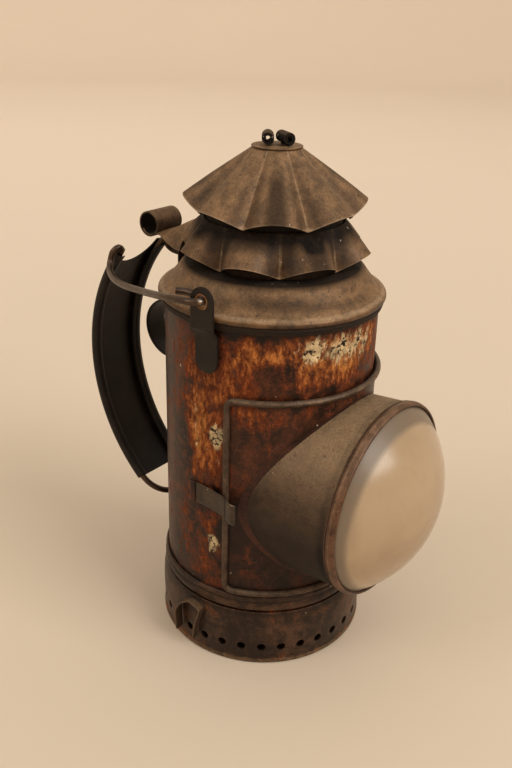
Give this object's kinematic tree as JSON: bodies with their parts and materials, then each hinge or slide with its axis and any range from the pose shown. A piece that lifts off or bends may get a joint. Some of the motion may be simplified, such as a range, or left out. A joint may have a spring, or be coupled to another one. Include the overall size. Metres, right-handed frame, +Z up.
{
  "type": "bull's-eye hand lantern",
  "caption": "Tin hand lantern with a hinged bull's-eye lens door, a turning dark shutter under a pleated chimney cap, a lift-off oil lamp base and a folding back handle.",
  "frame": {"origin": "centre of the base's underside, on the plane the lantern stands on", "axes": "+Z up the body, -Y the way the lens faces, +Y the handle, +X the door's hinge side, -X its catch side"},
  "size_m": [0.0947, 0.1631, 0.2004],
  "materials": {
    "japanned_tin": "worn brown japan over tinplate with rust",
    "bronzed_tin": "dusty brown bronzed lacquer",
    "black_tin": "black japan, slightly worn",
    "steel_wire": "bare aged wire",
    "bright_tin": "dull inner tinplate",
    "burner_brass": "sooted brass",
    "lens_glass": "thick cast glass, hazy",
    "wick_cotton": "woven cotton"
  },
  "bodies": {
    "base": {"base_floor": "japanned_tin", "base_skirt": "japanned_tin", "base_clip": "bronzed_tin", "oil_font": "bright_tin", "filler_cap": "burner_brass", "burner_collar": "burner_brass", "wick_tube": "burner_brass", "air_cone": "burner_brass", "reflector": "bright_tin", "reflector_bracket": "bright_tin"},
    "wick": {"wick": "wick_cotton"},
    "body": {"body_shell": "japanned_tin", "lower_band": "japanned_tin", "top_dome": "bronzed_tin", "chimney_seat": "bronzed_tin", "ear_left": "black_tin", "ear_right": "black_tin", "belt_loop": "black_tin", "thumb_rest": "bronzed_tin", "latch_root": "japanned_tin", "hinge_pin": "steel_wire", "hinge_knuckle_lower": "japanned_tin", "hinge_knuckle_upper": "japanned_tin"},
    "chimney": {"chimney_tube": "bronzed_tin", "lower_ruffle": "bronzed_tin", "upper_ruffle": "bronzed_tin", "cap_plate": "bronzed_tin", "finger_scroll_left": "bronzed_tin", "finger_scroll_right": "bronzed_tin", "shutter_crown": "bright_tin", "dark_shutter": "bright_tin"},
    "door": {"door_panel": "japanned_tin", "door_hinge_barrel": "japanned_tin", "lens_tube": "bronzed_tin", "lens_bezel": "bronzed_tin", "lens": "lens_glass", "lens_retainer": "bright_tin"},
    "latch": {"latch_spring": "japanned_tin"},
    "handle": {"handle_wire": "steel_wire", "handle_grip": "black_tin"}
  },
  "joints": [
    {"name": "body_lift", "type": "slide", "parent": "base", "child": "body", "axis": [0, 0, 1], "range_m": [0, 0.05]},
    {"name": "door_swing", "type": "hinge", "parent": "body", "child": "door", "pos_m": [0.04129, -0.01107, 0.0737], "axis": [0, 0, 1], "range_deg": [0, 110]},
    {"name": "latch_flex", "type": "hinge", "parent": "body", "child": "latch", "pos_m": [-0.0407, 0.0017, 0.0725], "axis": [0, 0, -1], "range_deg": [0, 12], "stiffness_Nm_per_rad": 0.05},
    {"name": "chimney_turn", "type": "hinge", "parent": "body", "child": "chimney", "pos_m": [0, 0, 0.1546], "axis": [0, 0, 1], "range_deg": [0, 180]},
    {"name": "handle_swing", "type": "hinge", "parent": "body", "child": "handle", "pos_m": [0, -0.0036, 0.1496], "axis": [1, 0, 0], "range_deg": [-4, 125]},
    {"name": "wick_raise", "type": "slide", "parent": "base", "child": "wick", "axis": [0, 0, 1], "range_m": [-0.002, 0.004]}
  ]
}
